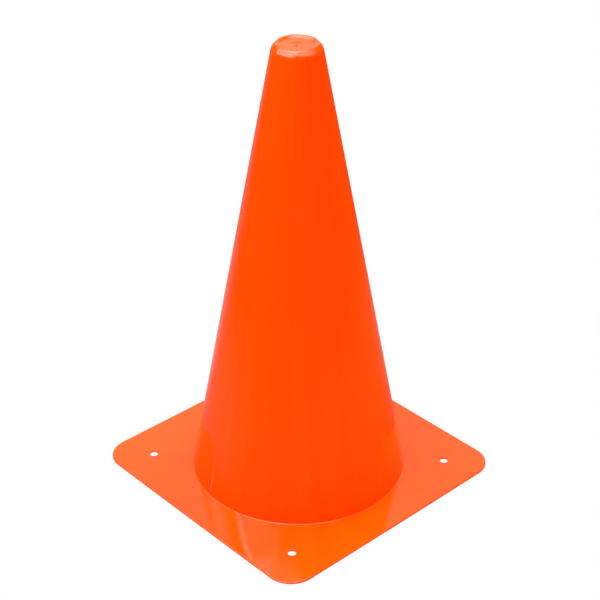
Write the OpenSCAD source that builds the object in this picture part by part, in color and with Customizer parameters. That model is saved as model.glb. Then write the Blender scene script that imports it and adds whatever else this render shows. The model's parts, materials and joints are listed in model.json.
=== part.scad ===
// Hollow marker cone on a square sheet base, as used to mark out games and drills.
// The real cone is one injection moulding. It is divided here at level planes, on the
// straight stretch of its wall, into named regions that meet face to face: the base flange
// with the foot of the wall, three bands of the tapered wall, and the closed crown.
// Origin: middle of the underside. +Z is up, and the sides of the base run along X and Y.

/* [Base flange] */
// Side of the square base
base_side = 191; // [175:1:240]
// Thickness of the base sheet
sheet_t = 1.3; // [1:0.1:2.5]
// Radius of the corners of the base, seen from above
corner_r = 17.8; // [8:0.2:24]
// Distance from each side of the base to the middle of a corner hole
hole_inset = 25.25; // [18:0.25:30]
// Diameter of the corner holes
hole_d = 5.5; // [3:0.1:9]
// Radius of the concave fillet between the base and the cone
foot_fillet_r = 1; // [0.5:0.1:4]
// Height of the region that is counted as the base flange
foot_h = 12; // [10:1:60]

/* [Cone wall] */
// Height of the whole cone
overall_h = 304.5; // [225:0.5:380]
// Outer diameter of the wall where it meets the top of the base
foot_d = 143; // [110:0.5:170]
// Outer diameter that the straight wall would reach at the overall height
top_d = 30; // [28:0.5:44]
// Thickness of the wall, square to its surface
wall_t = 1.3; // [1:0.1:2]

/* [Crown] */
// Height of the region that is counted as the crown
crown_h = 12; // [10:1:60]
// Height of the sloping shoulder below the top
shoulder_h = 3.3; // [2.2:0.1:4]
// How far the slope of the shoulder has come in from the line of the wall at the top
shoulder_inset = 2; // [1.6:0.05:2.6]
// Radius between the wall and the shoulder
shoulder_r = 5.5; // [3:0.5:8]
// Width of the rim around the top, from the slope of the shoulder to the recess
rim_w = 1; // [0.8:0.05:2]
// Radius of the rim's outer side
rim_r = 1.2; // [0.6:0.1:1.6]
// Depth of the round recess inside the rim
recess_depth = 1.2; // [0.4:0.1:1.8]
// Width of the slope from the rim down to the floor of the recess
recess_slope_w = 2.15; // [1.2:0.05:4]
// Radius at both ends of that slope
recess_r = 1; // [0.4:0.1:1.2]
// Diameter of the shallow dish in the middle of the recess
dish_d = 10; // [8:0.5:14]
// Depth of the dish below the floor of the recess
dish_depth = 0.5; // [0.2:0.05:0.8]
// Thickness of the cap under the floor of the recess
cap_t = 1.6; // [1.3:0.1:2.2]
// Radius inside, between the wall and the cap
cap_r = 2; // [1:0.1:4]
// Diameter of the mark where the plastic entered the mould
gate_d = 2; // [1:0.1:2.6]
// Height of that mark above the bottom of the dish
gate_h = 0.45; // [0.2:0.05:0.8]
// Distance of that mark from the axis
gate_offset = 1; // [0:0.1:1.4]

/* [Hidden] */
NODES = ["base_flange", "lower_wall", "middle_wall", "upper_wall", "crown"];

plastic = [1, 0.3, 0];
arc_steps = 8;
cut_over = 1;
$fn = 96;

// Every node but the base flange and the crown is a band of the wall
wall_bands = len(NODES) - 2;

// Direction of the gate mark from the axis, in degrees from +X
gate_turn = 137;

// Heights of the levels that the crown is built on
crown_z = overall_h - crown_h;
shoulder_z = overall_h - shoulder_h;
floor_z = overall_h - recess_depth;
dish_z = floor_z - dish_depth;
ceiling_z = floor_z - cap_t;

// The gate mark is rooted half way through the cap and stands on the dish's flat bottom
gate_root_z = (ceiling_z + dish_z) / 2;
dish_flat_r = gate_offset + gate_d / 2 + gate_h;

// In section the outside runs through these points, from the foot up to the recess
foot_point = [foot_d / 2, sheet_t];
top_point = [top_d / 2, overall_h];
wall_dir = unit(top_point - foot_point);
shoulder_point = wall_at(shoulder_z);
rim_point = top_point - [shoulder_inset, 0];
recess_point = rim_point - [rim_w, 0];
floor_point = [recess_point[0] - recess_slope_w, floor_z];
dish_point = [dish_d / 2, floor_z];

// The inside follows the outside of the wall, one wall thickness in
mouth_point = inner_wall_at(0);
mouth_r = foot_fillet_r + wall_t;

// Radius at which the foot of the wall ends, and from which the plain sheet laps over it
ring_end = mouth_point[0] + mouth_r + sheet_t;
lap_start = ring_end - sheet_t / 2;

function unit(v) = v / norm(v);

// Crossing of the line through p along d with the line through q along e
function crossing(p, d, q, e) = p + d * cross(q - p, e) / cross(d, e);

// Point one wall thickness inside the outer line through p along d, which runs upwards
function inside_of(p, d) = p + wall_t * [-d[1], d[0]];

// Points of the outer and the inner wall line at height z
function wall_at(z) = crossing(foot_point, wall_dir, [0, z], [1, 0]);
function inner_wall_at(z) = crossing(inside_of(foot_point, wall_dir), wall_dir, [0, z], [1, 0]);

// Signed turn from angle a to angle b, the short way round
function turn_between(a, b) = (b - a) - 360 * round((b - a) / 360);

// Points of the corner b, between a and c, rounded to radius r
function rounded(a, b, c, r) =
    let (u = unit(a - b), w = unit(c - b), half = acos(u * w) / 2)
    let (mid = b + unit(u + w) * r / sin(half), reach = r / tan(half))
    let (from = b + u * reach - mid, to = b + w * reach - mid)
    let (start = atan2(from[1], from[0]), turn = turn_between(start, atan2(to[1], to[0])))
    [for (i = [0:arc_steps]) let (t = start + turn * i / arc_steps) mid + r * [cos(t), sin(t)]];

// Points of the dish, from its lip down half a cosine wave to the flat bottom and the axis
function dish() = concat(
    [for (i = [0:arc_steps]) let (share = i / arc_steps)
        dish_point - [share * (dish_point[0] - dish_flat_r), dish_depth * (1 - cos(180 * share)) / 2]],
    [[0, dish_z]]
);

// Square base with round corners, seen from above
module base_outline() {
    straight = base_side - 2 * corner_r;
    square([base_side, straight], center = true);
    square([straight, base_side], center = true);
    at_corners(straight / 2) circle(r = corner_r);
}

// Children at the four places that lie reach from the axis along X and along Y
module at_corners(reach) {
    for (x = [-reach, reach], y = [-reach, reach]) translate([x, y, 0]) children();
}

// Section of the foot of the wall, with its fillet above and the rounded mouth below
module foot_section() {
    ring_top = [ring_end, sheet_t];
    ring_bottom = [ring_end, 0];
    polygon(concat(
        [ring_bottom, ring_top],
        rounded(ring_top, foot_point, wall_at(foot_h), foot_fillet_r),
        [wall_at(foot_h), inner_wall_at(foot_h)],
        rounded(inner_wall_at(foot_h), mouth_point, ring_bottom, mouth_r)
    ));
}

// The base sheet with its four holes, and the foot of the wall
module base_flange() {
    color(plastic) difference() {
        union() {
            linear_extrude(sheet_t) difference() {
                base_outline();
                circle(r = lap_start);
            }
            rotate_extrude() foot_section();
        }
        at_corners(base_side / 2 - hole_inset)
            translate([0, 0, -cut_over]) cylinder(d = hole_d, h = sheet_t + 2 * cut_over);
    }
}

// One of the equal bands between the base flange and the crown, open at both ends
module wall_band(i) {
    band_h = (crown_z - foot_h) / wall_bands;
    low = foot_h + i * band_h;
    high = low + band_h;
    rotate_extrude() polygon([wall_at(low), wall_at(high), inner_wall_at(high), inner_wall_at(low)]);
}

// The three bands of the tapered wall, from the foot up
module lower_wall() {
    color(plastic) wall_band(0);
}

module middle_wall() {
    color(plastic) wall_band(1);
}

module upper_wall() {
    color(plastic) wall_band(2);
}

// Section of the closed top, from the wall over the rim to the dish on the axis
module crown_section() {
    polygon(concat(
        [inner_wall_at(crown_z), wall_at(crown_z)],
        rounded(wall_at(crown_z), shoulder_point, rim_point, shoulder_r),
        rounded(shoulder_point, rim_point, recess_point, rim_r),
        rounded(rim_point, recess_point, floor_point, recess_r),
        rounded(recess_point, floor_point, dish_point, recess_r),
        dish(),
        [[0, ceiling_z]],
        rounded([0, ceiling_z], inner_wall_at(ceiling_z), inner_wall_at(crown_z), cap_r)
    ));
}

// The rounded shoulder, the rim and the recessed cap with its dish and gate mark
module crown() {
    color(plastic) union() {
        rotate_extrude() crown_section();
        rotate(gate_turn) translate([gate_offset, 0, gate_root_z])
            cylinder(d = gate_d, h = dish_z + gate_h - gate_root_z);
    }
}

base_flange();
lower_wall();
middle_wall();
upper_wall();
crown();
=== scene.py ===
"""Looks of a hollow marker cone: one glossy orange moulding on a thin square sheet base.

The moulding is built as five closed meshes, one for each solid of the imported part. They share
their end rings point for point, so that together they look like the single piece that it is.
Lengths are in metres and angles in degrees, unless a name or a comment says otherwise.
"""

import json
import logging
import math
from dataclasses import dataclass, field
from enum import Enum

import bmesh
import bpy
import numpy as np
from mathutils import Matrix, Vector


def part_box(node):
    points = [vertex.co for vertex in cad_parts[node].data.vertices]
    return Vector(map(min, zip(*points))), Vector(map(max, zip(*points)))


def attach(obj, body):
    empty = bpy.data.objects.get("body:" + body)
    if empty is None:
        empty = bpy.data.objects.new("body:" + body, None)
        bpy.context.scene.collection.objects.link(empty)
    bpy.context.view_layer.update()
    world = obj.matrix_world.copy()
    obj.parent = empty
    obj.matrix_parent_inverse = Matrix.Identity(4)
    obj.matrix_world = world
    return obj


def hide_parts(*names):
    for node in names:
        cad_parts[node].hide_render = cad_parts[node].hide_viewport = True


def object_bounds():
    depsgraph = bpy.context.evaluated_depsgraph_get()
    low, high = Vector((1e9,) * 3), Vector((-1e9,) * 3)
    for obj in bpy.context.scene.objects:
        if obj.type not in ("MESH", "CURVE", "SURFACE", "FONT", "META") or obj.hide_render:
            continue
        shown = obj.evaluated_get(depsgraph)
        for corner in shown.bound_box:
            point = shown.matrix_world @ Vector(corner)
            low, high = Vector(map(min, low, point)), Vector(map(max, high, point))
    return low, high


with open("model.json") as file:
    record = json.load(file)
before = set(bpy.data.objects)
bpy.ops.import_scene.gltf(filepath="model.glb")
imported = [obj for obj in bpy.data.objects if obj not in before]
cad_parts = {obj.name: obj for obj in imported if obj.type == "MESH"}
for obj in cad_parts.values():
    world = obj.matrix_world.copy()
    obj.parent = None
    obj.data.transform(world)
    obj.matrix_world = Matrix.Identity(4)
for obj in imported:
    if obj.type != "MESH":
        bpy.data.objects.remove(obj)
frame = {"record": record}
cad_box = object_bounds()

log = logging.getLogger("marker_cone")

Array = np.ndarray
Colour = tuple[float, float, float]
Point = tuple[float, float, float]
Range = tuple[float, float]
Heading = tuple[float, float]
Socket = bpy.types.NodeSocket
Tree = bpy.types.NodeTree

BODY = "root"

# Columns of every mesh round the axis, a multiple of eight so that each corner has one
COLUMNS = 384
# Points closer than this are one point
WELD = 1e-6
# Edges that turn by more than this stay sharp
SHARP_TURN = 38.0

MM_PER_M = 1000.0
CM3_PER_M3 = 1e6


class Side(Enum):
    """The two sides of the moulding, as material slots of each piece."""

    OUTSIDE = 0
    INSIDE = 1


def unit(vector: Array) -> Array:
    """Scale vectors to length one along their last axis."""
    return vector / np.linalg.norm(vector, axis=-1, keepdims=True)


def eased(share: Array) -> Array:
    """Ease shares from 0 to 1 with level ends: 3 s squared less 2 s cubed, held outside 0 and 1."""
    held = np.clip(share, 0.0, 1.0)
    return held * held * (3.0 - 2.0 * held)


def rounded(before: Array, corner: Array, after: Array, radius: float, steps: int = 12) -> Array:
    """Round a corner of a section.

    The arc's centre lies on the corner's bisector, at the radius over the sine of half the
    corner's angle, and its points turn evenly from one tangent point to the other.

    Args:
        before: Point (r, z) that the section comes from.
        corner: Point (r, z) of the corner.
        after: Point (r, z) that the section goes to.
        radius: Radius of the arc.
        steps: Number of chords along the arc.

    Returns:
        The arc's points, one (r, z) per row.
    """
    back, ahead = unit(before - corner), unit(after - corner)
    half = math.acos(float(back @ ahead)) / 2
    centre = corner + unit(back + ahead) * radius / math.sin(half)
    reach = radius / math.tan(half)
    start, end = corner + back * reach - centre, corner + ahead * reach - centre
    first = math.atan2(start[1], start[0])
    turn = (math.atan2(end[1], end[0]) - first + math.pi) % math.tau - math.pi
    angles = first + turn * np.linspace(0.0, 1.0, steps + 1)
    return centre + radius * np.column_stack((np.cos(angles), np.sin(angles)))


def refined(points: Array, step: float) -> Array:
    """Cut the long straight runs of a section.

    Each run between neighbours is cut into the least number of equal parts that are no longer
    than the step.

    Args:
        points: The section's points, one (r, z) per row.
        step: Longest part that is left.

    Returns:
        The points with those between them added.
    """
    runs = np.diff(points, axis=0)
    parts = np.maximum(1, np.ceil(np.linalg.norm(runs, axis=1) / step)).astype(int)
    first = np.repeat(np.arange(len(runs)), parts)
    within = np.arange(parts.sum()) - np.repeat(np.cumsum(parts) - parts, parts)
    share = within / np.repeat(parts, parts)
    return np.vstack((points[first] + share[:, None] * runs[first], points[-1:]))


def turned(section: Array) -> Array:
    """Carry a section round the axis.

    A point (r, z) goes to (r cos a, r sin a, z) at each column's angle a.

    Args:
        section: Points (r, z), one per row.

    Returns:
        Grid of points with a row for each point of the section and a column for each angle.
    """
    angles = column_angles()
    radius, level = section[:, :1], section[:, 1:]
    return np.stack(
        (radius * np.cos(angles), radius * np.sin(angles), level + 0.0 * angles), axis=-1
    )


def column_angles() -> Array:
    """Angles of the columns round the axis, in radians from +X."""
    return np.arange(COLUMNS) * math.tau / COLUMNS


@dataclass
class Shell:
    """A closed mesh that is put together from patches, which are welded where they meet."""

    name: str
    points: list[Array] = field(default_factory=list)
    quads: list[Array] = field(default_factory=list)
    slots: list[Array] = field(default_factory=list)
    count: int = 0

    def add(self, grid: Array, side: Side, kept: Array | None = None) -> None:
        """Add a patch whose columns close round into a ring.

        The face between rows i and i + 1 and columns j and j + 1 runs along the columns first,
        so it faces outwards where the rows run anticlockwise round the section.

        Args:
            grid: Points with one row for each ring.
            side: Side of the moulding that the patch belongs to.
            kept: Mask of the faces that are made, one row fewer than the grid has.
        """
        rows, columns = grid.shape[:2]
        index = np.arange(rows * columns).reshape(rows, columns) + self.count
        after = np.roll(index, -1, axis=1)
        quads = np.stack((index[:-1], after[:-1], after[1:], index[1:]), axis=-1)
        quads = quads[kept] if kept is not None else quads.reshape(-1, 4)
        self.points.append(grid.reshape(-1, 3))
        self.quads.append(quads)
        self.slots.append(np.full(len(quads), side.value))
        self.count += rows * columns

    def finish(self, materials: list[bpy.types.Material]) -> bpy.types.Object:
        """Weld the patches into one object with smooth faces and sharp corners.

        Args:
            materials: Material of each side, in the order of Side.

        Returns:
            The new object, linked to the scene.
        """
        mesh = bpy.data.meshes.new(self.name)
        mesh.from_pydata(np.vstack(self.points).tolist(), [], np.vstack(self.quads).tolist())
        mesh.polygons.foreach_set("material_index", np.concatenate(self.slots).astype(np.int32))
        work = bmesh.new()
        work.from_mesh(mesh)
        bmesh.ops.remove_doubles(work, verts=work.verts, dist=WELD)
        work.to_mesh(mesh)
        work.free()
        mesh.polygons.foreach_set("use_smooth", np.ones(len(mesh.polygons), dtype=bool))
        mesh.set_sharp_from_angle(angle=math.radians(SHARP_TURN))
        for material in materials:
            mesh.materials.append(material)
        piece = bpy.data.objects.new(self.name, mesh)
        bpy.context.collection.objects.link(piece)
        self.report(mesh)
        return piece

    def report(self, mesh: bpy.types.Mesh) -> None:
        """Log the piece's faces, its volume and whether every edge has two faces.

        The volume is a sixth of the sum, over the triangles, of the first corner's dot product
        with the cross product of the other two. It is negative for a mesh that is inside out.
        """
        mesh.calc_loop_triangles()
        corners = np.empty(len(mesh.loop_triangles) * 3, dtype=np.int32)
        mesh.loop_triangles.foreach_get("vertices", corners)
        points = np.empty(len(mesh.vertices) * 3)
        mesh.vertices.foreach_get("co", points)
        a, b, c = np.moveaxis(points.reshape(-1, 3)[corners.reshape(-1, 3)], 1, 0)
        volume = float(np.einsum("ij,ij->", a, np.cross(b, c))) / 6
        edges = np.empty(len(mesh.loops), dtype=np.int32)
        mesh.loops.foreach_get("edge_index", edges)
        open_edges = int(np.count_nonzero(np.bincount(edges, minlength=len(mesh.edges)) != 2))
        log.info("%s: %d triangles, %.2f cm3, %d open edges",
                 self.name, len(a), volume * CM3_PER_M3, open_edges)


@dataclass(frozen=True)
class Wall:
    """Line of the tapered wall in section, which every region of the moulding follows."""

    low: Array
    high: Array
    thickness: float = 0.0013

    @classmethod
    def from_frame(cls) -> "Wall":
        """Read the line from the solids: from the bottom of the lowest band to the crown's."""
        foot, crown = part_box("lower_wall"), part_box("crown")
        return cls(np.array((foot[1].x, foot[0].z)), np.array((crown[1].x, crown[0].z)))

    def outer(self, level: float) -> Array:
        """Point (r, z) of the outside at a level."""
        share = (level - self.low[1]) / (self.high[1] - self.low[1])
        return self.low + share * (self.high - self.low)

    def inner(self, level: float) -> Array:
        """Point (r, z) of the inside at a level, one thickness in, square to the wall."""
        run = unit(self.high - self.low)
        return self.outer(level) - (self.thickness / run[1], 0.0)


@dataclass(frozen=True)
class Warp:
    """How the thin base sheet has lifted off the level while it cooled."""

    still_radius: float = 0.076
    reach: float = 0.052
    lifts: tuple[float, float, float, float] = (0.00022, 0.00030, 0.00042, 0.00026)

    def lifted(self, points: Array) -> Array:
        """Raise points of the sheet.

        The lift eases from nothing at the still radius to its full height at the corners. Round
        the axis it is the weighted mean of the four corners' lifts, where a corner's weight is
        the square of one plus the cosine of the angle to it.

        Args:
            points: Points (x, y, z) of the sheet.

        Returns:
            The same points, raised along z.
        """
        radius = np.hypot(points[..., 0], points[..., 1])
        angle = np.arctan2(points[..., 1], points[..., 0])[..., None]
        corners = math.radians(45.0) + np.arange(4) * math.radians(90.0)
        weights = (1.0 + np.cos(angle - corners)) ** 2
        height = (weights * np.array(self.lifts)).sum(axis=-1) / weights.sum(axis=-1)
        raised = points.copy()
        raised[..., 2] += height * eased((radius - self.still_radius) / self.reach)
        return raised


@dataclass
class BaseFlange:
    """The square sheet with its four corner holes, and the foot of the wall."""

    wall: Wall
    warp: Warp
    half: float
    level: float
    hole_reach: float
    hole_radius: float
    sheet: float = 0.0013
    corner_radius: float = 0.0178
    fillet_radius: float = 0.0004
    top_edge_radius: float = 0.0005
    low_edge_radius: float = 0.00015
    hole_edge_radius: float = 0.00025
    block_half: float = 0.0083
    block_cells: int = 16
    crowding: float = 0.6
    row_step: float = 0.0013
    foot_chords: int = 16
    edge_chords: int = 6
    hole_chords: int = 5
    hole_rows: int = 8

    @classmethod
    def from_frame(cls, wall: Wall, warp: Warp) -> "BaseFlange":
        """Take the outline from the solid and the holes from the part's own mount."""
        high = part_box("base_flange")[1]
        mounts = frame["record"]["mounts"]
        dims = next(mount for mount in mounts if mount["name"] == "corner_holes")["dims"]
        reach = dims["spacing_x_mm"] / MM_PER_M / 2
        return cls(wall, warp, high.x, high.z, reach, dims["hole_r_mm"] / MM_PER_M)

    def build(self, materials: list[bpy.types.Material]) -> bpy.types.Object:
        """Build the flange as one closed mesh.

        Args:
            materials: Material of each side of the moulding.

        Returns:
            The finished piece.
        """
        shell = Shell("flange_shell")
        foot = np.array((self.wall.outer(self.sheet), self.wall.inner(0.0)))
        mouth_radius = self.fillet_radius + self.wall.thickness
        ring = float(foot[1, 0]) + mouth_radius + self.sheet
        top, bottom = np.array((ring, self.sheet)), np.array((ring, 0.0))
        high_out, high_in = self.wall.outer(self.level), self.wall.inner(self.level)
        fillet = rounded(top, foot[0], high_out, self.fillet_radius, self.foot_chords)
        mouth = rounded(high_in, foot[1], bottom, mouth_radius, self.foot_chords)
        outside = refined(np.vstack((top, fillet, high_out)), self.row_step)
        inside = refined(np.vstack((high_in, mouth, bottom)), self.row_step)
        shell.add(turned(outside), Side.OUTSIDE)
        shell.add(turned(np.array((high_out, high_in))), Side.INSIDE)
        shell.add(turned(inside), Side.INSIDE)
        self.add_sheet(shell, ring)
        return shell.finish(materials)

    def outline(self, inset: float) -> Array:
        """Points of the square outline with its round corners, one for each column.

        A ray at each column's angle meets a side at the half side over its larger component, or
        a corner's arc where the ray's distance to the arc's centre allows. The angles crowd
        towards the corners by a share of a sine of four times the angle.

        Args:
            inset: Distance that the points have moved in from the edge, square to it.

        Returns:
            Points (x, y), one per column.
        """
        angles = column_angles()
        angles = angles + self.crowding / 4 * np.sin(4 * angles)
        ray = np.column_stack((np.cos(angles), np.sin(angles)))
        straight = self.half - self.corner_radius
        centre = straight * np.sign(ray)
        along = (ray * centre).sum(axis=1)
        gap = along**2 - (centre**2).sum(axis=1) + self.corner_radius**2
        on_arc = ray * (along + np.sqrt(np.maximum(gap, 0.0)))[:, None]
        on_side = ray * (self.half / np.abs(ray).max(axis=1))[:, None]
        round_part = (np.abs(on_side).min(axis=1) > straight)[:, None]
        side_normal = np.sign(ray) * (np.abs(ray) == np.abs(ray).max(axis=1, keepdims=True))
        normal = np.where(round_part, (on_arc - centre) / self.corner_radius, unit(side_normal))
        return np.where(round_part, on_arc, on_side) - inset * normal

    def add_sheet(self, shell: Shell, ring: float) -> None:
        """Add the flat of the sheet, its edge and its holes.

        Seen from above, the sheet's rows go from a circle to the square outline: a row's points
        are a share of the way along straight lines from the one to the other.

        Args:
            shell: The mesh that the patches are added to.
            ring: Radius of the circle where the foot of the wall ends.
        """
        angles = column_angles()
        circle = ring * np.column_stack((np.cos(angles), np.sin(angles)))
        edge = self.outline(self.top_edge_radius)
        eighth, quarter = COLUMNS // 8, COLUMNS // 4
        corner_run = float(np.linalg.norm(edge[eighth])) - ring
        middle = (self.hole_reach * math.sqrt(2.0) - ring) / corner_run
        half_share = self.block_half / corner_run
        row_share = self.row_step / corner_run
        low, high = middle - half_share, middle + half_share
        shares = np.concatenate((
            np.linspace(0.0, low, math.ceil(low / row_share), endpoint=False),
            np.linspace(low, high, self.block_cells, endpoint=False),
            np.linspace(high, 1.0, math.ceil((1.0 - high) / row_share) + 1),
        ))
        plan = circle + shares[:, None, None] * (edge - circle)
        first_row = math.ceil(low / row_share)
        last_row = first_row + self.block_cells
        kept = np.ones((len(shares) - 1, COLUMNS), dtype=bool)
        for corner in range(4):
            first = eighth + corner * quarter - self.block_cells // 2
            last = first + self.block_cells
            kept[first_row:last_row, first:last] = False
            around = np.vstack((
                plan[first_row:last_row, first], plan[last_row, first:last],
                plan[last_row:first_row:-1, last], plan[first_row, last:first:-1],
            ))
            shell.add(self.warp.lifted(self.hole(around, corner)), Side.OUTSIDE)
        level_top = self.warp.lifted(with_level(plan, self.sheet))
        level_low = self.warp.lifted(with_level(plan, 0.0))
        shell.add(level_top[::-1], Side.OUTSIDE, kept[::-1])
        shell.add(level_low, Side.INSIDE, kept)
        shell.add(self.warp.lifted(self.edge_rows()), Side.OUTSIDE)

    def edge_rows(self) -> Array:
        """Rows of the sheet's edge, from its underside round to its top.

        Each row is the outline moved in by its inset and set at its level. The insets and the
        levels follow a small quarter circle below and a larger one above.
        """
        low, high = self.low_edge_radius, self.top_edge_radius
        turn = np.linspace(0.0, math.pi / 2, self.edge_chords + 1)
        under = np.column_stack((low * (1 - np.sin(turn)), low * (1 - np.cos(turn))))
        over = np.column_stack((high * (1 - np.cos(turn)), self.sheet - high * (1 - np.sin(turn))))
        rows = np.vstack(((high, 0.0), under, over))
        return np.stack([with_level(self.outline(inset), level) for inset, level in rows])

    def hole(self, around: Array, corner: int) -> Array:
        """Rows of one corner hole, from the gap in the sheet's top to the one in its underside.

        A row on the flat lies a share of the way from the gap's edge to the hole's rim, which is
        a circle. The rim is rounded by a quarter circle, and the wall of the hole is straight.

        Args:
            around: Points (x, y) round the gap, anticlockwise from above.
            corner: Number of the corner, anticlockwise from (+X, +Y).

        Returns:
            Grid of points (x, y, z).
        """
        turn = math.radians(45.0 + 90.0 * corner)
        centre = self.hole_reach * math.sqrt(2.0) * np.array((math.cos(turn), math.sin(turn)))
        out = unit(around - centre)
        edge, bend = self.hole_edge_radius, np.linspace(0.0, math.pi / 2, self.hole_chords + 1)
        rim = centre + (self.hole_radius + edge) * out
        flat = [around + share * (rim - around) for share in np.linspace(0.0, 1.0, self.hole_rows)]
        radii = self.hole_radius + edge * (1 - np.sin(bend))
        drops = edge * (1 - np.cos(bend))
        top = [with_level(plan, self.sheet) for plan in flat]
        down = [with_level(centre + r * out, self.sheet - d) for r, d in zip(radii, drops)]
        up = [with_level(centre + r * out, d) for r, d in zip(radii[::-1], drops[::-1])]
        low = [with_level(plan, 0.0) for plan in flat[::-1]]
        return np.stack(top + down[1:] + up + low[1:])


def with_level(plan: Array, level: float) -> Array:
    """Set points (x, y) at a level, as points (x, y, z)."""
    return np.concatenate((plan, np.full((*plan.shape[:-1], 1), level)), axis=-1)


@dataclass
class WallBand:
    """One of the bands of the tapered wall between the base flange and the crown."""

    wall: Wall
    name: str
    low: float
    high: float
    row_step: float = 0.004

    def build(self, materials: list[bpy.types.Material]) -> bpy.types.Object:
        """Build the band as a closed ring of the wall's section.

        Args:
            materials: Material of each side of the moulding.

        Returns:
            The finished piece.
        """
        low_out, high_out = self.wall.outer(self.low), self.wall.outer(self.high)
        low_in, high_in = self.wall.inner(self.low), self.wall.inner(self.high)
        shell = Shell(self.name)
        shell.add(turned(refined(np.array((low_out, high_out)), self.row_step)), Side.OUTSIDE)
        shell.add(turned(np.array((high_out, high_in))), Side.INSIDE)
        shell.add(turned(refined(np.array((high_in, low_in)), self.row_step)), Side.INSIDE)
        shell.add(turned(np.array((low_in, low_out))), Side.INSIDE)
        return shell.finish(materials)


@dataclass
class Crown:
    """The closed top: a rounded shoulder and rim, a round recess and a dish with a gate mark."""

    wall: Wall
    low: float
    top: float
    shoulder_height: float = 0.0033
    shoulder_inset: float = 0.0020
    shoulder_radius: float = 0.0055
    rim_width: float = 0.001
    rim_radius: float = 0.0012
    recess_depth: float = 0.0012
    recess_slope: float = 0.00215
    recess_radius: float = 0.001
    dish_radius: float = 0.005
    dish_depth: float = 0.0005
    cap: float = 0.0016
    cap_radius: float = 0.002
    gate_radius: float = 0.001
    gate_height: float = 0.00045
    gate_offset: float = 0.001
    gate_turn: float = 137.0
    gate_slope: float = 0.00022
    gate_sink: float = 0.0001
    gate_tear: float = 0.00007
    gate_tilt: float = 0.05
    row_step: float = 0.0004
    fine_step: float = 0.00009
    recess_chords: int = 8
    dish_chords: int = 24

    @classmethod
    def from_frame(cls, wall: Wall) -> "Crown":
        """Take the crown's levels from the solid."""
        low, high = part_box("crown")
        return cls(wall, low.z, high.z)

    def build(self, materials: list[bpy.types.Material]) -> bpy.types.Object:
        """Build the crown as a section between two poles on the axis.

        Args:
            materials: Material of each side of the moulding.

        Returns:
            The finished piece.
        """
        shell = Shell("crown_shell")
        outside, inside = self.sections()
        shell.add(turned(inside), Side.INSIDE)
        shell.add(turned(np.array((inside[-1], outside[0]))), Side.INSIDE)
        shell.add(self.marked(turned(outside)), Side.OUTSIDE)
        return shell.finish(materials)

    def sections(self) -> tuple[Array, Array]:
        """Sections of the two sides: the outside from the wall to the axis, the inside back."""
        floor = self.top - self.recess_depth
        shoulder = self.wall.outer(self.top - self.shoulder_height)
        rim = self.wall.outer(self.top) - (self.shoulder_inset, 0.0)
        recess = rim - (self.rim_width, 0.0)
        foot = np.array((recess[0] - self.recess_slope, floor))
        lip = np.array((self.dish_radius, floor))
        low_out, low_in = self.wall.outer(self.low), self.wall.inner(self.low)
        outside = np.vstack((
            low_out,
            rounded(low_out, shoulder, rim, self.shoulder_radius),
            rounded(shoulder, rim, recess, self.rim_radius),
            rounded(rim, recess, foot, self.recess_radius, self.recess_chords),
            rounded(recess, foot, lip, self.recess_radius, self.recess_chords),
            self.dish(lip),
        ))
        level = floor - self.cap
        ceiling = np.array((0.0, level))
        bend = rounded(ceiling, self.wall.inner(level), low_in, self.cap_radius)
        inside = np.vstack((ceiling, bend, low_in))
        return refined(outside, self.row_step), refined(inside, 2 * self.row_step)

    def dish(self, lip: Array) -> Array:
        """Points of the dish: half a cosine wave down to a flat bottom, and in to the axis."""
        flat = self.gate_offset + self.gate_radius + self.gate_height
        share = np.linspace(0.0, 1.0, self.dish_chords + 1)
        radii = lip[0] - share * (lip[0] - flat)
        levels = lip[1] - self.dish_depth * (1 - np.cos(math.pi * share)) / 2
        bottom = np.arange(flat - self.fine_step, self.fine_step / 2, -self.fine_step)
        deep = lip[1] - self.dish_depth
        rings = np.column_stack((np.append(bottom, 0.0), np.full(len(bottom) + 1, deep)))
        return np.vstack((np.column_stack((radii, levels)), rings))

    def marked(self, grid: Array) -> Array:
        """Raise the gate mark on the bottom of the dish.

        The mark eases up over a narrow slope within its radius. Its top lies the sink below the
        mark's height and is tilted, and the tear makes it lower in the middle and higher at the
        rim, by a cosine of the distance from its middle, as where a sprue has been torn off.

        Args:
            grid: Points of the crown's outside.

        Returns:
            The points with the mark raised.
        """
        turn = math.radians(self.gate_turn)
        middle = self.gate_offset * np.array((math.cos(turn), math.sin(turn)))
        apart = grid[..., :2] - middle
        distance = np.linalg.norm(apart, axis=-1)
        share = 1.0 - eased((distance - self.gate_radius + self.gate_slope) / self.gate_slope)
        torn = self.gate_tear * np.cos(math.pi * distance / self.gate_radius)
        tilted = self.gate_tilt * apart[..., 0]
        raised = grid.copy()
        raised[..., 2] += share * (self.gate_height - self.gate_sink - torn + tilted)
        return raised


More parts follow.
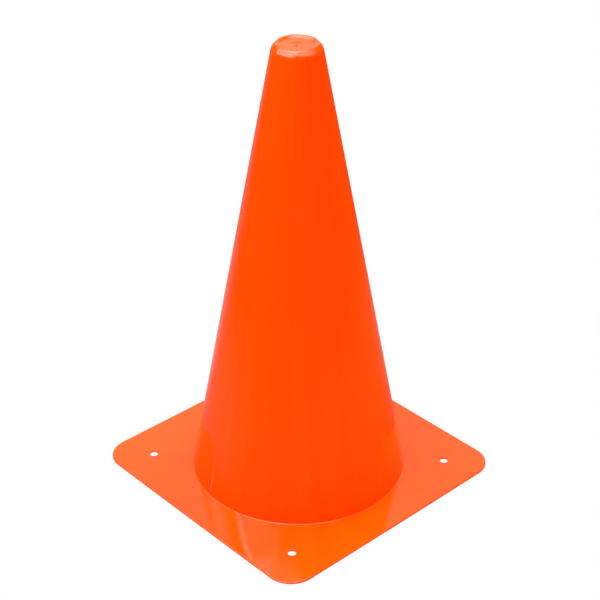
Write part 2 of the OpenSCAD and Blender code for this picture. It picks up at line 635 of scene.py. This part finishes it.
class Nodes:
    """Short ways to place the shader nodes that the finishes, the lights and the studio share."""

    @staticmethod
    def feed(tree: Tree, node: bpy.types.Node, values: tuple[object, ...]) -> None:
        """Feed a node's first inputs with sockets, numbers or vectors."""
        for socket, value in zip(node.inputs, values):
            if isinstance(value, Socket):
                tree.links.new(value, socket)
            else:
                socket.default_value = value

    @classmethod
    def maths(cls, tree: Tree, operation: str, *values: Socket | float) -> Socket:
        """Place a Math node and return its output."""
        node = tree.nodes.new("ShaderNodeMath")
        node.operation = operation
        cls.feed(tree, node, values)
        return node.outputs[0]

    @classmethod
    def vector(cls, tree: Tree, operation: str, *values: Socket | Point) -> bpy.types.Node:
        """Place a Vector Math node and return it."""
        node = tree.nodes.new("ShaderNodeVectorMath")
        node.operation = operation
        cls.feed(tree, node, values)
        return node

    @classmethod
    def scaled(cls, tree: Tree, vector: Socket, scale: Socket) -> Socket:
        """Multiply a vector by a number."""
        node = cls.vector(tree, "SCALE", vector)
        tree.links.new(scale, node.inputs["Scale"])
        return node.outputs[0]

    @classmethod
    def distance(cls, tree: Tree, place: Socket, middle: Point) -> Socket:
        """Distance of a place from a middle."""
        return cls.vector(tree, "DISTANCE", place, middle).outputs["Value"]

    @classmethod
    def along(cls, tree: Tree, vector: Socket, way: Heading) -> Socket:
        """Cosine of the angle between a vector, seen from above, and a level direction."""
        level = cls.vector(tree, "MULTIPLY", vector, (1.0, 1.0, 0.0)).outputs[0]
        direction = cls.vector(tree, "NORMALIZE", level).outputs[0]
        return cls.vector(tree, "DOT_PRODUCT", direction, (*way, 0.0)).outputs["Value"]

    @staticmethod
    def ramp(tree: Tree, value: Socket, start_end: Range, levels: Range,
             course: str = "SMOOTHSTEP") -> Socket:
        """Go from one level to the other while a value goes from the start to the end."""
        node = tree.nodes.new("ShaderNodeMapRange")
        node.interpolation_type = course
        node.inputs["From Min"].default_value, node.inputs["From Max"].default_value = start_end
        node.inputs["To Min"].default_value, node.inputs["To Max"].default_value = levels
        tree.links.new(value, node.inputs["Value"])
        return node.outputs["Result"]

    @staticmethod
    def noise(tree: Tree, vector: Socket, scale: Socket | float, detail: float,
              distortion: float = 0.0) -> Socket:
        """Place a Noise texture and return its value, which lies about a half."""
        node = tree.nodes.new("ShaderNodeTexNoise")
        node.inputs["Detail"].default_value = detail
        node.inputs["Distortion"].default_value = distortion
        tree.links.new(vector, node.inputs["Vector"])
        if isinstance(scale, Socket):
            tree.links.new(scale, node.inputs["Scale"])
        else:
            node.inputs["Scale"].default_value = scale
        return node.outputs["Fac"]


class Groups:
    """Node groups that the finishes share, each with a value that changes over the surface."""

    # Gain of a noise and what is added to it, where only its high places are to be left
    STREAK_CONTRAST = (3.0, -1.0)
    PATCH_CONTRAST = (6.0, -3.1)
    # Reach over which the streaks fade out softly at their faint ends
    STREAK_SOFTNESS = 0.1
    # Shares of the lengths across and up the cone at which the scratches' noise is read
    SCRATCH_STRETCH = (1.0, 1.0, 0.16)
    PATCH_SCALE = 23.0

    @staticmethod
    def begin(name: str, inputs: dict[str, float]) -> tuple[Tree, dict, dict]:
        """Start a group with a vector input, named numbers and one value as its output.

        Args:
            name: Name of the group.
            inputs: The numbers' names and defaults.

        Returns:
            The tree, its input sockets by name and its output sockets by name.
        """
        tree = bpy.data.node_groups.new(name, "ShaderNodeTree")
        tree.interface.new_socket(name="Vector", in_out="INPUT", socket_type="NodeSocketVector")
        for label, value in inputs.items():
            made = tree.interface.new_socket(
                name=label, in_out="INPUT", socket_type="NodeSocketFloat")
            made.default_value = value
        tree.interface.new_socket(name="Value", in_out="OUTPUT", socket_type="NodeSocketFloat")
        entry, leave = tree.nodes.new("NodeGroupInput"), tree.nodes.new("NodeGroupOutput")
        return tree, entry.outputs, leave.inputs

    @classmethod
    def moulded_grain(cls) -> Tree:
        """Height of a moulded skin: slow ripples from cooling and a fine grain from the mould."""
        tree, entry, leave = cls.begin(
            "moulded_grain", {"Ripple Scale": 45.0, "Grain Scale": 1400.0, "Grain Share": 0.05})
        ripple = Nodes.noise(tree, entry["Vector"], entry["Ripple Scale"], detail=1.0)
        grain = Nodes.noise(tree, entry["Vector"], entry["Grain Scale"], detail=3.0)
        fine = Nodes.maths(tree, "MULTIPLY", grain, entry["Grain Share"])
        tree.links.new(Nodes.maths(tree, "ADD", ripple, fine), leave["Value"])
        return tree

    @classmethod
    def flow_streaks(cls) -> Tree:
        """Mask of the streaks in which the plastic ran from the gate, down the wall and outwards.

        The noise is read at the direction from the axis, scaled by the number of streaks, and at
        a height that is the run times the distance from the origin.
        """
        tree, entry, leave = cls.begin("flow_streaks", {"Streaks": 9.0, "Run": 6.0})
        flat = Nodes.vector(tree, "MULTIPLY", entry["Vector"], (1.0, 1.0, 0.0)).outputs[0]
        direction = Nodes.vector(tree, "NORMALIZE", flat).outputs[0]
        spread = Nodes.scaled(tree, direction, entry["Streaks"])
        length = Nodes.vector(tree, "LENGTH", entry["Vector"]).outputs["Value"]
        height = tree.nodes.new("ShaderNodeCombineXYZ")
        tree.links.new(Nodes.maths(tree, "MULTIPLY", length, entry["Run"]), height.inputs["Z"])
        place = Nodes.vector(tree, "ADD", spread, height.outputs[0]).outputs[0]
        streaks = Nodes.noise(tree, place, 1.0, detail=3.0, distortion=0.4)
        strong = Nodes.maths(tree, "MULTIPLY_ADD", streaks, *cls.STREAK_CONTRAST)
        soft = Nodes.maths(tree, "SMOOTH_MAX", strong, 0.0, cls.STREAK_SOFTNESS)
        tree.links.new(soft, leave["Value"])
        return tree

    @classmethod
    def handling_marks(cls) -> Tree:
        """Mask of fine scratches from stacking: thin level lines of a noise, in patches."""
        tree, entry, leave = cls.begin("handling_marks", {"Scratch Scale": 90.0, "Width": 0.012})
        stretched = Nodes.vector(tree, "MULTIPLY", entry["Vector"], cls.SCRATCH_STRETCH).outputs[0]
        lines = Nodes.noise(tree, stretched, entry["Scratch Scale"], detail=2.0, distortion=1.2)
        off = Nodes.maths(tree, "ABSOLUTE", Nodes.maths(tree, "SUBTRACT", lines, 0.5))
        near = Nodes.maths(tree, "DIVIDE", off, entry["Width"])
        line = Nodes.maths(tree, "MAXIMUM", Nodes.maths(tree, "SUBTRACT", 1.0, near), 0.0)
        patch = Nodes.noise(tree, entry["Vector"], cls.PATCH_SCALE, detail=2.0)
        strong = Nodes.maths(tree, "MULTIPLY_ADD", patch, *cls.PATCH_CONTRAST)
        held = Nodes.maths(tree, "MINIMUM", Nodes.maths(tree, "MAXIMUM", strong, 0.0), 1.0)
        tree.links.new(Nodes.maths(tree, "MULTIPLY", line, held), leave["Value"])
        return tree

    @classmethod
    def edge_rub_and_highlight(cls) -> Tree:
        """Mask of the rubbed edges, which also paints a highlight along them: the sides of the
        sheet and the top of the crown's rim.

        It rises over the mark's width towards the half side along X or Y, and towards the top,
        and a slow noise makes it stronger in some places than in others. Its pale colour is partly
        rubbed plastic and partly a painted highlight along the edges.
        """
        half_side, _, top = cad_box[1]
        tree, entry, leave = cls.begin(
            "edge_rub_and_highlight", {"Half Side": half_side, "Top": top, "Width": 0.0008, "Patches": 55.0})
        split = tree.nodes.new("ShaderNodeSeparateXYZ")
        tree.links.new(entry["Vector"], split.inputs[0])
        across = Nodes.maths(tree, "ABSOLUTE", split.outputs["X"])
        along = Nodes.maths(tree, "ABSOLUTE", split.outputs["Y"])
        furthest = Nodes.maths(tree, "MAXIMUM", across, along)
        to_side = Nodes.maths(tree, "SUBTRACT", entry["Half Side"], furthest)
        to_top = Nodes.maths(tree, "SUBTRACT", entry["Top"], split.outputs["Z"])
        nearest = Nodes.maths(tree, "MINIMUM", to_side, to_top)
        share = Nodes.maths(tree, "DIVIDE", nearest, entry["Width"])
        near = Nodes.maths(tree, "MAXIMUM", Nodes.maths(tree, "SUBTRACT", 1.0, share), 0.0)
        patches = Nodes.noise(tree, entry["Vector"], entry["Patches"], detail=2.0)
        # Painted highlight along the edges, mixed with rubbed wear
        rubbed_and_highlit = Nodes.maths(tree, "MULTIPLY", near, patches)
        tree.links.new(Nodes.maths(tree, "MINIMUM", rubbed_and_highlit, 1.0), leave["Value"])
        return tree


@dataclass(frozen=True)
class PlasticFinish:
    """One side of the moulding: its colour, its gloss and its marks.

    The colours are linear. Streaks and marks add their own share of roughness. The shares of the
    streaks, the marks and the edges are those of their colours at the masks' full strength. The
    pale colour on the edges is partly rubbed plastic and partly a painted highlight.
    """

    name: str
    colour: Colour
    streak_colour: Colour
    # Pale colour of scratches and rubbed edges; on the edges it is also a painted highlight
    rub_and_highlight_colour: Colour
    roughness: float
    streak_roughness: float
    mark_roughness: float
    bump: float
    ripple_scale: float
    grain_scale: float
    grain_share: float
    streak_share: float
    mark_share: float
    # Share of that pale colour on the edges, a painted highlight as well as wear
    rub_and_highlight_share: float
    refraction: float = 1.5

    def material(self, groups: dict[str, Tree]) -> bpy.types.Material:
        """Make the material.

        Args:
            groups: The shared node groups by name.

        Returns:
            The new material.
        """
        made = bpy.data.materials.new(self.name)
        made.use_nodes = True
        tree = made.node_tree
        shader = tree.nodes["Principled BSDF"]
        shader.inputs["IOR"].default_value = self.refraction
        place = tree.nodes.new("ShaderNodeTexCoord").outputs["Object"]
        streaks, marks, rub_and_highlight = (
            self.placed(tree, groups[name], place, {})
            for name in ("flow_streaks", "handling_marks", "edge_rub_and_highlight"))
        grain = self.placed(tree, groups["moulded_grain"], place, {
            "Ripple Scale": self.ripple_scale,
            "Grain Scale": self.grain_scale,
            "Grain Share": self.grain_share,
        })
        colour = self.mixed(tree, streaks, self.streak_share, self.colour, self.streak_colour)
        colour = self.mixed(tree, marks, self.mark_share, colour, self.rub_and_highlight_colour)
        # Pale edges: rubbed plastic and a painted highlight along them
        colour = self.mixed(tree, rub_and_highlight, self.rub_and_highlight_share, colour, self.rub_and_highlight_colour)
        tree.links.new(colour, shader.inputs["Base Color"])
        rubbed_and_highlit = Nodes.maths(tree, "ADD", marks, rub_and_highlight)
        rough = Nodes.maths(tree, "MULTIPLY_ADD", rubbed_and_highlit, self.mark_roughness, self.roughness)
        streaked = Nodes.maths(tree, "MULTIPLY_ADD", streaks, self.streak_roughness, rough)
        tree.links.new(streaked, shader.inputs["Roughness"])
        bump = tree.nodes.new("ShaderNodeBump")
        bump.inputs["Distance"].default_value = self.bump
        tree.links.new(grain, bump.inputs["Height"])
        tree.links.new(bump.outputs["Normal"], shader.inputs["Normal"])
        return made

    @staticmethod
    def placed(tree: Tree, group: Tree, place: Socket, values: dict[str, float]) -> Socket:
        """Place a shared group in a material with its own values, and return its output."""
        node = tree.nodes.new("ShaderNodeGroup")
        node.node_tree = group
        tree.links.new(place, node.inputs["Vector"])
        for label, value in values.items():
            node.inputs[label].default_value = value
        return node.outputs["Value"]

    @staticmethod
    def mixed(tree: Tree, mask: Socket, share: float, under: Socket | Colour,
              over: Colour) -> Socket:
        """Mix a colour over another by a share of a mask, and return the mixed colour."""
        node = tree.nodes.new("ShaderNodeMix")
        node.data_type = "RGBA"
        tree.links.new(Nodes.maths(tree, "MULTIPLY", mask, share), node.inputs["Factor"])
        if isinstance(under, Socket):
            tree.links.new(under, node.inputs["A"])
        else:
            node.inputs["A"].default_value = (*under, 1.0)
        node.inputs["B"].default_value = (*over, 1.0)
        return node.outputs["Result"]


@dataclass(frozen=True)
class SoftBox:
    """A soft studio light with an even glow over a rectangle.

    With an edge it is round instead, and its glow fades over that share of the way from the rim
    to the middle. It then also fades between two distances from a hot spot. The hot spot and
    these distances are in halves of the light's width. A hidden light shines on the cone without
    showing in its gloss.
    """

    name: str
    place: Point
    width: float
    height: float
    glow: float
    aim: Point = (0.0, 0.0, 0.12)
    edge: float = 0.0
    hot_spot: tuple[float, float] = (0.0, 0.0)
    fade: Range = (2.0, 3.0)
    hidden: bool = False

    def build(self) -> None:
        """Add the light, turned so that its face looks at its aim.

        The light's power is pi times its area times its glow.
        """
        light = bpy.data.lights.new(self.name, "AREA")
        light.shape = "RECTANGLE"
        light.size, light.size_y = self.width, self.height
        light.energy = math.pi * self.width * self.height * self.glow
        if self.edge > 0.0:
            self.soften(light)
        lamp = bpy.data.objects.new(self.name, light)
        bpy.context.collection.objects.link(lamp)
        lamp.visible_camera = False
        lamp.visible_glossy = not self.hidden
        lamp.location = self.place
        lamp.rotation_euler = (Vector(self.aim) - lamp.location).to_track_quat("-Z", "Y").to_euler()

    def soften(self, light: bpy.types.Light) -> None:
        """Let the glow fade from one to nothing over the edge, and away from the hot spot.

        The places on the light run from 0 to 1 along its sides, and are turned into halves of
        them, from -1 to 1.
        """
        light.use_nodes = True
        tree = light.node_tree
        place = tree.nodes.new("ShaderNodeNewGeometry").outputs["Parametric"]
        halves = Nodes.vector(
            tree, "MULTIPLY_ADD", place, (2.0, 2.0, 0.0), (-1.0, -1.0, 0.0)).outputs[0]
        from_middle = Nodes.distance(tree, halves, (0.0, 0.0, 0.0))
        from_spot = Nodes.distance(tree, halves, (*self.hot_spot, 0.0))
        glow = Nodes.maths(
            tree, "MULTIPLY",
            Nodes.ramp(tree, from_middle, (1.0 - self.edge, 1.0), (1.0, 0.0)),
            Nodes.ramp(tree, from_spot, self.fade, (1.0, 0.0), "LINEAR"))
        tree.links.new(glow, tree.nodes["Emission"].inputs["Strength"])


@dataclass(frozen=True)
class Viewpoint:
    """Where the photograph was taken from, as fitted to the outline, the base and its holes."""

    place: Point = (-0.58500, -0.63767, 0.66273)
    azimuth: float = -42.62
    elevation: float = 31.73
    roll: float = 0.126
    lens: float = 94.93
    sensor: float = 36.0
    nearest: float = 0.01

    def build(self) -> None:
        """Add the camera and make it the scene's."""
        way, tilt = math.radians(self.azimuth), math.radians(self.elevation)
        right = Vector((math.cos(way), math.sin(way), 0.0))
        level_back = Vector((math.sin(way), -math.cos(way), 0.0))
        back = math.cos(tilt) * level_back + Vector((0.0, 0.0, math.sin(tilt)))
        turn = Matrix((right, back.cross(right), back)).transposed().to_4x4()
        camera = bpy.data.cameras.new("camera")
        camera.lens, camera.sensor_width = self.lens, self.sensor
        camera.clip_start = self.nearest
        holder = bpy.data.objects.new("camera", camera)
        bpy.context.collection.objects.link(holder)
        rolled = Matrix.Rotation(-math.radians(self.roll), 4, "Z")
        holder.matrix_world = Matrix.Translation(self.place) @ turn @ rolled
        bpy.context.scene.camera = holder


@dataclass
class Studio:
    """A white floor and surround, pale soft light and the camera.

    The camera sees the floor and the surround as plain white. In the plastic's gloss the floor
    is as dark as a product table, with a faint glow close by and a brighter one to the left of
    straight back. For soft light it is a white sheet round the cone, shaded close to it.

    A way is a level direction (x, y), and a spread is the range of the cosine to it over which
    a glow rises. Places and distances on the ceiling are those at a height of one.
    """

    # The floor, and its glow in the gloss
    floor_half: float = 6.0
    floor_drop: float = 0.0002
    floor_dim: float = 0.006
    far_glow: float = 0.2
    far_power: float = 3.0
    far_way: Heading = (0.167, 0.986)
    far_spread: Range = (0.766, 0.985)
    close_glow: float = 0.15
    close_way: Heading = (0.218, 0.976)
    close_spread: Range = (-0.35, 0.45)
    close_end: Range = (0.12, 0.5)
    # The floor for soft light
    sheet_light: float = 6.7
    sheet_middle: Point = (0.12, 0.06, 0.0)
    sheet_end: Range = (0.10, 0.55)
    shade_left: float = 0.25
    shade_end: Range = (0.10, 0.28)
    # The window low down behind the cone
    window_low: float = 0.95
    window_high: float = 0.06
    window_bend: Range = (0.56, 0.85)
    window_way: Heading = (0.677, 0.736)
    window_spread: Range = (0.80, 0.93)
    # The ceiling and its opening
    opening: Point = (0.2, 0.2, 1.0)
    opening_edge: Range = (0.84, 0.92)
    halo_light: float = 0.3
    halo_end: Range = (1.1, 2.6)
    pool_light: float = 4.0
    pool_middle: Point = (-0.15, -0.80, 1.0)
    pool_end: Range = (0.1, 2.0)
    front_way: Heading = (-0.677, -0.736)
    front_edge: Range = (0.74, 0.90)
    horizon: Range = (0.0, 0.1)
    # The surround for soft light
    soft_light: float = 0.85
    soft_way: Heading = (0.77, -0.64)
    soft_spread: Range = (-0.5, 1.0)
    boxes: tuple[SoftBox, ...] = (
        SoftBox("overhead_box", (-0.10, 0.06, 1.3), 1.49, 1.49, 9.5, (-0.10, 0.06, 0.0), 0.12,
                (-0.47, -0.215), (0.55, 1.45)),
        SoftBox("back_box", (-0.15, 0.95, 1.292), 1.30, 1.00, 3.0, (-0.15, 0.95, 0.0), 0.7),
        SoftBox("edge_strip", (-0.775, 0.36, 1.288), 0.035, 0.74, 15.0, (-0.775, 0.36, 0.0)),
        SoftBox("left_box", (-0.96, 0.55, 1.11), 2.20, 0.55, 4.6, (0.0, 0.55, 0.10)),
        SoftBox("right_box", (1.2, 0.25, 0.70), 1.00, 0.50, 14.0, hidden=True),
    )

    def build(self) -> None:
        """Build the floor, the surround, the lights and the camera."""
        self.add_floor()
        self.add_surround()
        for box in self.boxes:
            box.build()
        Viewpoint().build()
        bpy.context.scene.view_settings.view_transform = "Standard"

    def add_floor(self) -> None:
        """Add the floor, a flat square with one glow for mirrored light and one for soft light."""
        half = self.floor_half
        mesh = bpy.data.meshes.new("floor")
        mesh.from_pydata(
            [(-half, -half, 0.0), (half, -half, 0.0), (half, half, 0.0), (-half, half, 0.0)],
            [], [(0, 1, 2, 3)])
        floor = bpy.data.objects.new("floor", mesh)
        bpy.context.collection.objects.link(floor)
        floor.location.z = -self.floor_drop
        material = bpy.data.materials.new("white_floor")
        material.use_nodes = True
        material.cycles.emission_sampling = "NONE"
        tree = material.node_tree
        tree.nodes.remove(tree.nodes["Principled BSDF"])
        place = tree.nodes.new("ShaderNodeTexCoord").outputs["Object"]
        self.shine(tree, self.floor_in_gloss(tree, place), self.floor_for_soft(tree, place),
                   "ShaderNodeEmission", tree.nodes["Material Output"].inputs["Surface"])
        mesh.materials.append(material)

    def floor_in_gloss(self, tree: Tree, place: Socket) -> Socket:
        """Glow of the floor that the gloss mirrors.

        It is the dim level, the far glow, which is a power of an even ramp along its way, and the
        close glow, a ramp along its way that fades with the distance from the axis.

        Args:
            tree: Node tree of the floor.
            place: Place on the floor.

        Returns:
            Strength of the glow.
        """
        ahead = Nodes.ramp(
            tree, Nodes.along(tree, place, self.far_way), self.far_spread, (0.0, 1.0), "LINEAR")
        far = Nodes.maths(tree, "POWER", ahead, self.far_power)
        side = Nodes.ramp(
            tree, Nodes.along(tree, place, self.close_way), self.close_spread, (0.0, 1.0))
        from_axis = Nodes.distance(tree, place, (0.0, 0.0, 0.0))
        fade = Nodes.ramp(tree, from_axis, self.close_end, (self.close_glow, 0.0))
        close = Nodes.maths(tree, "MULTIPLY_ADD", side, fade, self.floor_dim)
        return Nodes.maths(tree, "MULTIPLY_ADD", far, self.far_glow, close)

    def floor_for_soft(self, tree: Tree, place: Socket) -> Socket:
        """Glow of the floor for soft light: a round sheet of light, shaded close to the cone.

        Args:
            tree: Node tree of the floor.
            place: Place on the floor.

        Returns:
            Strength of the glow.
        """
        from_middle = Nodes.distance(tree, place, self.sheet_middle)
        sheet = Nodes.ramp(tree, from_middle, self.sheet_end, (self.sheet_light, 0.0))
        from_axis = Nodes.distance(tree, place, (0.0, 0.0, 0.0))
        shade = Nodes.ramp(tree, from_axis, self.shade_end, (self.shade_left, 1.0))
        return Nodes.maths(tree, "MULTIPLY", sheet, shade)

    def add_surround(self) -> None:
        """Add the surround, with one glow for mirrored light and one for soft light.

        The mirrored one is a white window low down behind the cone, and the ceiling elsewhere.
        The soft one rises along its way, towards the right.
        """
        world = bpy.data.worlds.new("surround")
        bpy.context.scene.world = world
        world.use_nodes = True
        world.cycles.sampling_method = "NONE"
        tree = world.node_tree
        tree.nodes.clear()
        leave = tree.nodes.new("ShaderNodeOutputWorld")
        way = tree.nodes.new("ShaderNodeTexCoord").outputs["Generated"]
        split = tree.nodes.new("ShaderNodeSeparateXYZ")
        tree.links.new(way, split.inputs[0])
        up = split.outputs["Z"]
        window = Nodes.ramp(tree, up, self.window_bend, (self.window_low, self.window_high))
        behind = Nodes.ramp(
            tree, Nodes.along(tree, way, self.window_way), self.window_spread, (0.0, 1.0))
        elsewhere = Nodes.maths(tree, "SUBTRACT", 1.0, behind)
        ceiling = Nodes.maths(tree, "MULTIPLY", elsewhere, self.ceiling(tree, way, up))
        mirrored = Nodes.maths(tree, "MULTIPLY_ADD", window, behind, ceiling)
        soft = Nodes.ramp(
            tree, Nodes.along(tree, way, self.soft_way), self.soft_spread, (0.0, self.soft_light))
        self.shine(tree, mirrored, soft, "ShaderNodeBackground", leave.inputs["Surface"])

    def ceiling(self, tree: Tree, way: Socket, up: Socket) -> Socket:
        """Glow of the ceiling: a halo round its opening and a pool of light towards the front.

        Inside the opening, beyond the ceiling's front edge and under the horizon it is dark.

        Args:
            tree: Node tree of the surround.
            way: Direction from the cone.
            up: The direction's height.

        Returns:
            Strength of the glow.
        """
        spot = Nodes.scaled(tree, way, Nodes.maths(tree, "DIVIDE", 1.0, up))
        from_opening = Nodes.distance(tree, spot, self.opening)
        from_pool = Nodes.distance(tree, spot, self.pool_middle)
        forward = Nodes.vector(
            tree, "DOT_PRODUCT", spot, (*self.front_way, 0.0)).outputs["Value"]
        glow = Nodes.maths(
            tree, "ADD",
            Nodes.ramp(tree, from_opening, self.halo_end, (self.halo_light, 0.0)),
            Nodes.ramp(tree, from_pool, self.pool_end, (self.pool_light, 0.0)))
        for mask in (
            Nodes.ramp(tree, from_opening, self.opening_edge, (0.0, 1.0)),
            Nodes.ramp(tree, forward, self.front_edge, (1.0, 0.0)),
            Nodes.ramp(tree, up, self.horizon, (0.0, 1.0)),
        ):
            glow = Nodes.maths(tree, "MULTIPLY", glow, mask)
        return glow

    @staticmethod
    def shine(tree: Tree, mirrored: Socket, soft: Socket, kind: str, end: Socket) -> None:
        """Give a stage surface its glows, and plain white where the camera sees it directly.

        Args:
            tree: Node tree of the floor or the surround.
            mirrored: Strength for the rays that a gloss mirrors.
            soft: Strength for the rays of soft light.
            kind: Type of the shader node.
            end: Socket that the shader feeds.
        """
        path = tree.nodes.new("ShaderNodeLightPath")
        by_kind = tree.nodes.new("ShaderNodeMix")
        tree.links.new(path.outputs["Is Diffuse Ray"], by_kind.inputs["Factor"])
        tree.links.new(mirrored, by_kind.inputs["A"])
        tree.links.new(soft, by_kind.inputs["B"])
        seen = tree.nodes.new("ShaderNodeMix")
        tree.links.new(path.outputs["Is Camera Ray"], seen.inputs["Factor"])
        tree.links.new(by_kind.outputs["Result"], seen.inputs["A"])
        seen.inputs["B"].default_value = 1.0
        glow = tree.nodes.new(kind)
        tree.links.new(seen.outputs["Result"], glow.inputs["Strength"])
        tree.links.new(glow.outputs[0], end)


OUTSIDE_FINISH = PlasticFinish(
    name="glossy_orange",
    colour=(0.95, 0.052, 0.0004),
    streak_colour=(0.95, 0.060, 0.0006),
    # Pale pink of scratches and of the edges, where it is also a painted highlight
    rub_and_highlight_colour=(0.95, 0.16, 0.045),
    roughness=0.045,
    streak_roughness=0.0125,
    mark_roughness=0.05,
    bump=0.00003,
    ripple_scale=38.0,
    grain_scale=1300.0,
    grain_share=0.006,
    streak_share=0.6,
    mark_share=0.10,
    rub_and_highlight_share=0.10,
)

INSIDE_FINISH = PlasticFinish(
    name="satin_orange",
    colour=(0.90, 0.045, 0.0004),
    streak_colour=(0.90, 0.054, 0.0006),
    # Pale colour of scratches and of the edges, where it is also a painted highlight
    rub_and_highlight_colour=(0.93, 0.13, 0.03),
    roughness=0.36,
    streak_roughness=0.045,
    mark_roughness=0.18,
    bump=0.00012,
    ripple_scale=60.0,
    grain_scale=900.0,
    grain_share=0.12,
    streak_share=0.8,
    mark_share=0.30,
    rub_and_highlight_share=0.30,
)


@dataclass
class MarkerCone:
    """The whole moulding, in the regions that its solids divide it into."""

    def build(self) -> None:
        """Build each region, dress it, and put it in its solid's place."""
        makers = (
            Groups.moulded_grain, Groups.flow_streaks, Groups.handling_marks, Groups.edge_rub_and_highlight)
        groups = {tree.name: tree for tree in (make() for make in makers)}
        materials = [finish.material(groups) for finish in (OUTSIDE_FINISH, INSIDE_FINISH)]
        wall = Wall.from_frame()
        self.stand_for(BaseFlange.from_frame(wall, Warp()).build(materials), "base_flange")
        for node in ("lower_wall", "middle_wall", "upper_wall"):
            low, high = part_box(node)
            band = WallBand(wall, node.replace("wall", "band"), low.z, high.z)
            self.stand_for(band.build(materials), node)
        self.stand_for(Crown.from_frame(wall).build(materials), "crown")

    @staticmethod
    def stand_for(piece: bpy.types.Object, node: str) -> None:
        """Make a piece ride on the body, and show it in place of its solid."""
        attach(piece, BODY)
        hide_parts(node)
        log.info("%s stands for %s", piece.name, node)


def main() -> None:
    logging.basicConfig(level=logging.INFO, format="%(name)s: %(message)s")
    Studio().build()
    MarkerCone().build()


if __name__ == "__main__":
    main()
